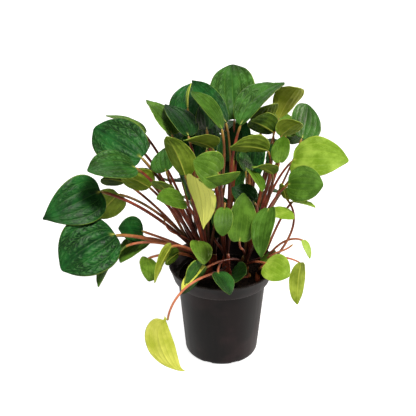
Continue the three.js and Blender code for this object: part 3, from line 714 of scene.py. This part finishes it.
# The upper and the lower face, which meet at the rim. The lower one carries the raised midrib.
drop = value["Thickness"] * ((fold * fold + 1) ** 0.5)
fat = ((1 - u_side ** 8) * (1 - (t * 2 - 1) ** 16)).math("MAXIMUM", 0) ** 0.5
faces = []
for under_value, half in ((0.0, fat * 0.5 - 0.5), (1.0, fat * -0.5 - 0.5)):
    depth = half * drop
    if under_value:
        vein_ridge = u.bell(0.05) * 0.0007 * (1.1 - t) + from_vein(u).bell(0.08) * 0.0002
        depth = depth - vein_ridge * fat * fade
    face = step(blade_tree, "GeometryNodeSetPosition", Geometry=grid,
                Position=step(blade_tree, "ShaderNodeCombineXYZ", X=x, Y=y, Z=z + depth))
    if under_value:
        face = step(blade_tree, "GeometryNodeFlipFaces", Mesh=face)
    for name, term in (("under", under_value), ("youth", value["Back" if under_value else "Youth"])):
        face = step(blade_tree, "GeometryNodeStoreNamedAttribute", Geometry=face, Name=name, Value=term)
    faces.append(face)
whole = blade_tree.nodes.new("GeometryNodeJoinGeometry")
for face in faces:
    blade_tree.links.new(face, whole.inputs[0])
closed = step(blade_tree, "GeometryNodeMergeByDistance", Geometry=whole.outputs[0], Distance=1e-5)
closed = step(blade_tree, "GeometryNodeSetShadeSmooth", Geometry=closed)
end_shape_tree(blade_tree, closed, leaf_skin)


def blade_piece(name, leaf, number):
    """The finished blade of one leaf. Its number seeds its ripples."""
    blade = shaped(name, bpy.data.meshes.new(name + "_seed"), blade_tree,
                   Length=(leaf.tip - leaf.base).length, Width=leaf.width, Thickness=BLADE_T * MM,
                   Fold=leaf.fold, Arch=leaf.arch, Sway=leaf.sway, Crease=CREASE, Puff=leaf.puff,
                   Notch=leaf.notch, Egg=leaf.egg, Point=leaf.point, Wedge=leaf.wedge,
                   Youth=leaf.youth, Back=leaf.back, Seed=number * BLADE_SEED_STEP,
                   Across=BLADE_ACROSS, Along=BLADE_ALONG)
    blade.data.transform(leaf.place())
    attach(blade, "root")
    return blade


leaves = [(row[0], Leaf(*row[1:])) for row in LEAVES]
for number, (stem, leaf) in enumerate(leaves, 1):
    blade = blade_piece(f"blade_{number:02d}", leaf, number)
    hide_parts(f"leaf_{number:02d}")

# The light leaf at the front is deeply notched, and its lower lobe curls up past the stalk.
curled = Leaf("boat", (17, -80, 263), (-25, -91, 260), 18, -112, -0.1, 0.05, 0.4, 0.5, -0.12)
lobe = blade_piece("blade_19_lobe", curled, 19.5)
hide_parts("leaf_19")

# The folded leaf at the pot's rim shows the pale back of its near half as a narrow strip.
strip = Leaf("boat", (-18, -62, 143), (-43, -84, 125), 10, 135, 0.1, 0.05, 1, 0.4, -0.12)
near_half = blade_piece("blade_31_near_half", strip, 31.5)
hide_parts("leaf_31")

# ---- Crown and leaf stalks ----
# A short creeping rootstock lies half in the soil and carries three stubby, ringed stems. The
# stalks leave them in turns: long, round and red, slimmer towards the blade and yellow under it.
CROWN_FROM, CROWN_TO, CROWN_R, CROWN_Z = -15, 27, 7, 93
STEMS = {"l": (-15, -3, 121), "m": (5, 3, 124), "r": (26, -1, 122)}  # left, middle and right
STEM_FOOT_R, STEM_TOP_R, STEM_LEAN, STEM_BEND = 4.8, 3.8, 0.3, 12
STALK_FOOT_R, STALK_BLADE_R = 1.8, 1.35
STALK_THIN, STALK_PER_WIDTH = 0.75, 8.5  # share of that for a blade of width 0, and per metre
STALK_SLIM = {"l": 1.0, "m": 0.85, "r": 0.75}  # and by stem: slimmer in the middle and at the right
ROOT_LOW, ROOT_HIGH = 9, 3  # stalks leave a stem this far over the soil and under its top
LIFT_LEAST, LIFT_SHARE, LIFT_AT = 4, 0.12, 0.3  # how much a stalk bows up, and where on its way
TURN_FROM, TURN_MOST, TURN_STEP, TURN_ENOUGH = 0.4, 0.9, 0.1, 0.25  # its turn into the blade's line
LEAD_LEAST, LEAD_SHARE = 8, 0.25  # its last stretch before the blade
GOLDEN = 0.618  # the golden ratio, which spreads the stalks over a stem without order
STALK_POINTS, STALK_SIDES, STALK_SEED = 40, 12, 11
JOIN = 1.2  # how far a stalk runs into its blade


def stalk_root(stem, index):
    """Where a leaf's stalk leaves its stem: the leaves take turns up the stem."""
    x, y, top = STEMS[stem]
    low, high = SOIL_TOP + ROOT_LOW, top - ROOT_HIGH
    return mm(x, y, low + (high - low) * (index * GOLDEN % 1))


def stalk_guides(root, leaf):
    """Guide points of a stalk, from its root up and out to the notch of its blade."""
    rise = leaf.base - root
    lead = leaf.base - (leaf.bends[-1] if leaf.bends else root)
    share = TURN_FROM
    while True:
        travel = lead.normalized().lerp(leaf.along, share).normalized()
        if travel.dot(leaf.along) >= TURN_ENOUGH or share >= TURN_MOST - TURN_STEP:
            break
        share += TURN_STEP
    end = leaf.base + leaf.along * JOIN * MM - leaf.upper * BLADE_T / 2 * MM
    before = end - travel * max(LEAD_LEAST * MM, LEAD_SHARE * lead.length)
    out = root + rise * LIFT_AT
    out.z += LIFT_LEAST * MM + LIFT_SHARE * math.hypot(rise.x, rise.y)
    return [root, *(leaf.bends or [out]), before, end]


def on_curve(guides, share):
    """A point on the smooth curve that a list of guide points draws."""
    points = guides
    while len(points) > 1:
        points = [a.lerp(b, share) for a, b in zip(points, points[1:])]
    return points[0]


def guide_curves(name, guide_lists, sizes):
    """One curve with a spline along each list of guides, of its own relative size."""
    curve = bpy.data.curves.new(name, "CURVE")
    curve.dimensions = "3D"
    for guides, size in zip(guide_lists, sizes):
        spline = curve.splines.new("POLY")
        spline.points.add(STALK_POINTS - 1)
        for i, point in enumerate(spline.points):
            point.co = (*on_curve(guides, i / (STALK_POINTS - 1)), 1)
            point.radius = size
    return curve


stalk_skin, tree, shader = new_material("stalk_skin", 0.36, Specular_IOR_Level=0.3)
along, tint = measured(tree, "along"), measured(tree, "tint")
cells, blotches = tissue_of(tree, 1800.0, 90.0)
place = step(tree, "ShaderNodeTexCoord", "Object")
right, back, height = (read(tree, "ShaderNodeSeparateXYZ", axis, Vector=place) for axis in "XYZ")
outer = (right * right + back * back).ramp(0.0012, 0.0028)  # square of the metres from the middle
red = blend_of(blotches.ramp(0.3, 0.7), (84, 30, 20), (150, 68, 44))
brown = blend_of(blotches.ramp(0.3, 0.7), (84, 56, 24), (132, 96, 44))
salmon = blend_of(blotches.ramp(0.3, 0.7), (176, 92, 60), (222, 138, 96))
# The stalks darken towards their feet, down in the bundle under the leaves: painted shade.
feed(tree, shader.inputs["Base Color"], layered(
    red, (tint.ramp(0.55, 0.95), brown),
    (height.ramp(0.185, 0.15) * along.ramp(0.3, 0.6) * outer * 0.9, salmon),
    (along.ramp(0.7, 0.1) * 0.9, (34, 16, 11)), (along.ramp(0.92, 1.0) * 0.75, (154, 132, 58))))
feed(tree, shader.inputs["Roughness"], blotches * 0.2 + 0.3)
emboss(shader, 0.3, 0.0004, cells * 0.4 + blotches)

stalk_tree, given, value = new_shape_tree(
    "Leaf stalk", Foot_Radius="Float", End_Radius="Float", Sides="Int", Rings="Float", Ring_Height="Float",
    End_Rounding="Float", Seed="Int")
spline = read(stalk_tree, "GeometryNodeSplineParameter", "Factor")
stalk_number = step(stalk_tree, "GeometryNodeFieldOnDomain", domain="CURVE", data_type="INT",
                    Value=step(stalk_tree, "GeometryNodeInputIndex"))
own_tint = step(stalk_tree, "FunctionNodeRandomValue", 1, data_type="FLOAT", ID=stalk_number,
                Seed=value["Seed"])
foot, end = value["Foot_Radius"], value["End_Radius"]
ring = (spline * value["Rings"]).math("PINGPONG", 0.5).bell(0.12)
ends = (1 - (spline * 2 - 1).size() ** value["End_Rounding"]).math("MAXIMUM", 0.02)
own_size = read(stalk_tree, "GeometryNodeInputRadius")
thick = (foot + (end - foot) * spline) * (ring * value["Ring_Height"] + 1) * ends ** 0.5 * own_size
line = given
for name, term in (("along", spline), ("tint", own_tint)):
    line = step(stalk_tree, "GeometryNodeStoreNamedAttribute", Geometry=line, Name=name, Value=term)
line = step(stalk_tree, "GeometryNodeSetCurveRadius", Curve=line, Radius=thick)
circle = step(stalk_tree, "GeometryNodeCurvePrimitiveCircle", Resolution=value["Sides"], Radius=1.0)
tube = step(stalk_tree, "GeometryNodeCurveToMesh", Curve=line, Profile_Curve=circle, Fill_Caps=True,
            Scale=step(stalk_tree, "GeometryNodeInputRadius"))
smooth = step(stalk_tree, "GeometryNodeSetShadeSmooth", Geometry=tube)
end_shape_tree(stalk_tree, smooth, stalk_skin)


def stalk_size(leaf):
    """How thick a leaf's stalk is, as a share of the usual: large blades have thicker stalks."""
    return STALK_THIN + STALK_PER_WIDTH * leaf.width


def stalk_piece(name, guide_lists, foot, end, sizes=None, rings=0.0, ring_height=0.0, rounding=120.0):
    """Round stalks or stems along their guides."""
    sizes = sizes or [1.0] * len(guide_lists)
    piece = shaped(name, guide_curves(name + "_guides", guide_lists, sizes), stalk_tree,
                   Foot_Radius=foot * MM, End_Radius=end * MM, Sides=STALK_SIDES, Rings=rings,
                   Ring_Height=ring_height, End_Rounding=rounding, Seed=STALK_SEED)
    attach(piece, "root")
    return piece


rootstock = stalk_piece(
    "rootstock", [[mm(CROWN_FROM - CROWN_R, 0, CROWN_Z), mm(CROWN_TO + CROWN_R, 0, CROWN_Z)]],
    CROWN_R, CROWN_R, rings=9.0, ring_height=0.06, rounding=8.0)
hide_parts("crown_stalks")
stems = stalk_piece(
    "crown_stems",
    [[mm(x, y * STEM_LEAN, CROWN_Z), mm(x, y * STEM_LEAN, CROWN_Z + STEM_BEND), mm(x, y, top)]
     for x, y, top in STEMS.values()],
    STEM_FOOT_R, STEM_TOP_R, rings=7.0, ring_height=0.1, rounding=10.0)
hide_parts("crown_stalks")
stalks = stalk_piece(
    "leaf_stalks", [stalk_guides(stalk_root(stem, i), leaf) for i, (stem, leaf) in enumerate(leaves)],
    STALK_FOOT_R, STALK_BLADE_R, sizes=[stalk_size(leaf) * STALK_SLIM[stem] for stem, leaf in leaves])
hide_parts("crown_stalks")

# ---- Young leafy shoots ----
# Side shoots that rise from the soil, with leaves on thin stalks: one at the right with small pale
# leaves, and three behind that fill the plant's back. Their rows are like those of the leaves above,
# without a stem and all of the egg form.
SHOOT_R, SHOOT_TAPER, SHOOT_TOP = 3, 0.8, 108
SHOOT_LEVELS, SHOOT_SPACING = 3, 2  # the stalks leave a shoot at so many heights, so far apart
SHOOTS = {
    "shoot_right": ((40, -14), [
        ((75, -20, 200), (99, -34, 200), 20, -15, 0.2, 0.05, 0.7, 0.4, 0, [(55, -24, 165)]),
        ((69, -20, 203), (62, -23, 223), 16, 25, 0.1, 0.05, 0.5, 0.4, 0, [(68, -40, 150), (91, -30, 182)]),
        ((88, -30, 158), (95, -43, 142), 12, -20, 0.1, 0.05, 0.8, 0.4, 0, [(56, -30, 165)]),
        ((48, -35, 133), (56, -13, 136), 20, -30, 0.1, 0.05, 0.4, 0.4)]),
    "shoot_back_left": ((-27, 18), [
        ((-88, 48, 228), (-126, 78, 220), 44, 0, 0.2, 0.08, 0.1, 0.8),
        ((-45, 60, 185), (-58, 100, 165), 40, 0, 0.2, 0.08, 0.2, 0.8),
        ((-85, 42, 198), (-118, 64, 188), 38, 0, 0.2, 0.08, 0.15, 0.7),
        ((-40, 58, 238), (-52, 100, 243), 42, 0, 0.2, 0.08, 0.05, 0.9)]),
    "shoot_back": ((-8, 28), [
        ((-35, 75, 215), (-50, 120, 205), 44, 0, 0.2, 0.08, 0.1, 0.9),
        ((-20, 60, 165), (-35, 100, 140), 40, 0, 0.2, 0.08, 0.35, 0.7),
        ((0, 85, 235), (-2, 130, 230), 44, 0, 0.2, 0.08, 0.1, 0.8),
        ((5, 70, 185), (5, 112, 160), 42, 0, 0.2, 0.08, 0.2, 0.8),
        ((5, 62, 262), (8, 112, 272), 44, 0, 0.2, 0.08, 0.15, 0.8)]),
    "shoot_back_right": ((28, 22), [
        ((35, 70, 225), (55, 112, 215), 44, 0, 0.2, 0.08, 0.15, 0.8),
        ((30, 55, 170), (48, 90, 145), 40, 0, 0.2, 0.08, 0.3, 0.7),
        ((45, 55, 255), (70, 90, 262), 40, 0, 0.2, 0.08, 0.2, 0.8),
        ((88, 45, 208), (120, 70, 196), 42, 0, 0.2, 0.08, 0.4, 0.6),
        ((55, 45, 180), (78, 78, 155), 40, 0, 0.2, 0.08, 0.15, 0.8),
        ((72, 35, 245), (102, 62, 250), 40, 0, 0.2, 0.08, 0.25, 0.7)]),
}
for count, (name, (at, rows)) in enumerate(SHOOTS.items(), 1):
    young = [Leaf("egg", *row) for row in rows]
    stem = stalk_piece(name + "_stem", [[mm(*at, SOIL_TOP), mm(*at, SHOOT_TOP)]],
                       SHOOT_R, SHOOT_R * SHOOT_TAPER, rings=4.0, ring_height=0.08, rounding=12.0)
    roots = [mm(*at, SHOOT_TOP - SHOOT_SPACING * (1 + i % SHOOT_LEVELS)) for i in range(len(young))]
    arms = stalk_piece(name + "_stalks", [stalk_guides(r, leaf) for r, leaf in zip(roots, young)],
                       STALK_FOOT_R, STALK_BLADE_R, sizes=[stalk_size(leaf) for leaf in young])
    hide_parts(name)
    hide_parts(name)
    for i, leaf in enumerate(young, 1):
        blade = blade_piece(f"{name}_blade_{i}", leaf, 10 * count + i + 0.5)
        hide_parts(name)

# ---- Inner leaves ----
# Older, shaded leaves deep in the clump. They are like the others, on shorter stalks from the same
# stems, and darken the gaps between the outer leaves; those with a youth below 0 are painted darker
# for the shade they lie in. Each row is a leaf's stem, blade base and tip, width, roll, youth and
# puff, and for the thin one its form, fold and arch.
INNER_FROM = 80  # their numbers, which seed them, go on from here
INNER = [
    ("m", (-6, 6, 205), (-22, 22, 240), 34, 20, 0.0, 0.8),
    ("m", (14, 6, 185), (26, 16, 222), 34, -20, 0.1, 0.8),
    ("r", (32, 10, 215), (44, 24, 250), 34, -10, 0.0, 0.8),
    ("l", (-34, 6, 190), (-48, 18, 222), 34, 25, 0.1, 0.8),
    ("m", (2, 12, 150), (-6, 26, 186), 36, 10, 0.0, 0.8),
    ("r", (36, 8, 160), (48, 18, 194), 34, -15, 0.1, 0.8),
    ("l", (-32, 14, 232), (-30, 34, 262), 34, 10, 0.0, 0.8),
    ("m", (16, 18, 240), (24, 34, 272), 36, -10, 0.0, 0.8),
    ("l", (-22, 8, 150), (-36, 16, 182), 32, 25, 0.0, 0.8),
    ("r", (50, 4, 232), (66, 12, 262), 30, -20, 0.1, 0.8),
    ("m", (8, 22, 200), (6, 34, 236), 34, 10, -0.5, 0.6),
    ("l", (-38, 25, 290), (-34, 28, 317), 8, -20, 1.2, 0.2, "boat", 0.4, 0.05),
    ("m", (-17, 6, 273), (-23, 16, 297), 30, 10, -0.5, 0.6),
    ("m", (12, 14, 233), (9, 26, 266), 38, 0, -0.5, 0.6),
    ("r", (30, 10, 228), (32, 20, 254), 32, 5, -0.5, 0.6),
    ("r", (68, 8, 264), (70, 16, 286), 26, 20, 0.5, 0.6),
    ("m", (-9, 20, 133), (-11, 30, 158), 34, 20, -0.5, 0.6),
    ("m", (7, 22, 129), (11, 32, 155), 34, -20, -0.5, 0.6),
]


def shaded_leaf(base, tip, width, roll, youth, puff, form="egg", fold=0.2, arch=0.06):
    """An inner leaf, of the usual form, fold and arch unless others are given."""
    return Leaf(form, base, tip, width, roll, fold, arch, youth, puff)


inner = [(row[0], shaded_leaf(*row[1:])) for row in INNER]
for number, (stem, leaf) in enumerate(inner, 1):
    blade_piece(f"inner_blade_{number}", leaf, INNER_FROM + number)
inner_guides = [stalk_guides(stalk_root(stem, i), leaf) for i, (stem, leaf) in enumerate(inner, len(leaves))]
stalk_piece("inner_stalks", inner_guides, STALK_FOOT_R, STALK_BLADE_R,
            sizes=[stalk_size(leaf) for _, leaf in inner])

# ---- Spent flower stalks ----
# Two thin, leafless stalks that carried flower spikes. They leave the stems like the leaf stalks and
# end blunt, one over the pot's right edge and one at the left of the crown.
STUBS = [
    [mm(40, -14, 107), mm(52, -30, 150), mm(62, -52, 150), mm(75, -52, 165)],
    [mm(-15, -3, 112), mm(-30, -6, 160), mm(-58, -10, 150), mm(-60, -12, 157), mm(-64, -12, 175)]]
stalk_piece("spent_flower_stalks", STUBS, STALK_FOOT_R, STALK_BLADE_R, sizes=[0.7, 0.6], rounding=40.0)
